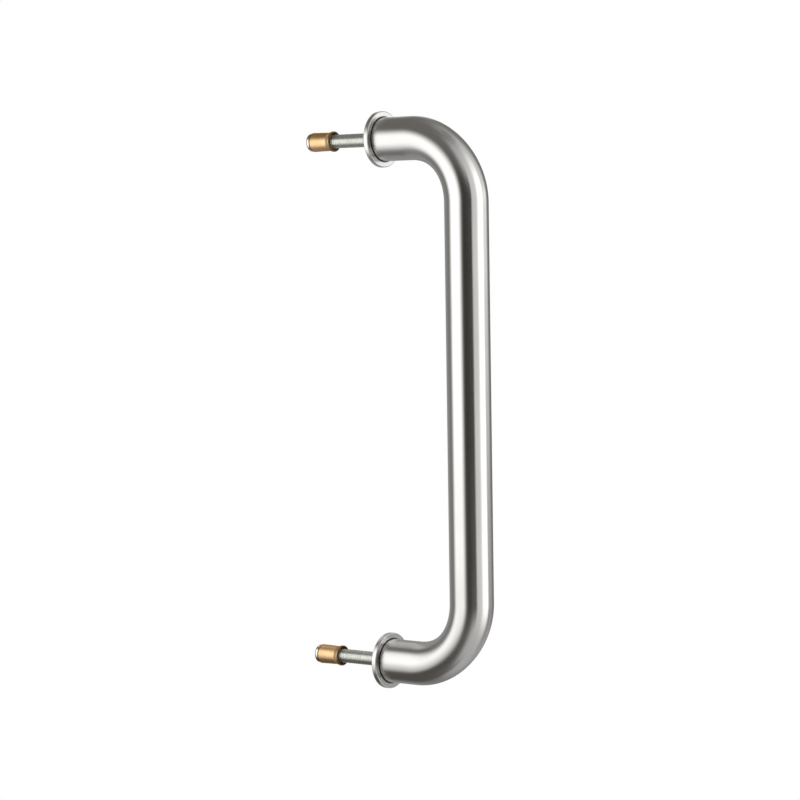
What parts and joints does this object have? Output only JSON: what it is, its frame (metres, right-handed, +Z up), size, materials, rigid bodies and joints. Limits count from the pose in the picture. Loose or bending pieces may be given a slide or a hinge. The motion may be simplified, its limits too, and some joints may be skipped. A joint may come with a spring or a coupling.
{
  "type": "door pull handle",
  "caption": "D-shaped door pull of bent round stainless tube on flat round roses, with threaded studs that carry brass expansion sleeves and cone nuts.",
  "frame": {"origin": "on the door face, halfway between the axes of the two fixings", "axes": "+Z up along the bar, -Y out of the door towards the hand, +Y into the door along the studs"},
  "size_m": [0.032, 0.123, 0.332],
  "materials": {
    "satin_stainless": "satin polished",
    "plug_steel": "turned",
    "zinc_steel": "zinc plated",
    "bright_steel": "bright zinc plated",
    "sleeve_brass": "turned, bright"
  },
  "bodies": {
    "root": {"grip_tube": "satin_stainless", "upper_rose": "satin_stainless", "lower_rose": "satin_stainless", "upper_end_plug": "plug_steel", "lower_end_plug": "plug_steel", "upper_stud": "zinc_steel", "lower_stud": "zinc_steel", "upper_cone_nut": "bright_steel", "lower_cone_nut": "bright_steel", "upper_expansion_sleeve": "sleeve_brass", "lower_expansion_sleeve": "sleeve_brass"}
  },
  "joints": []
}
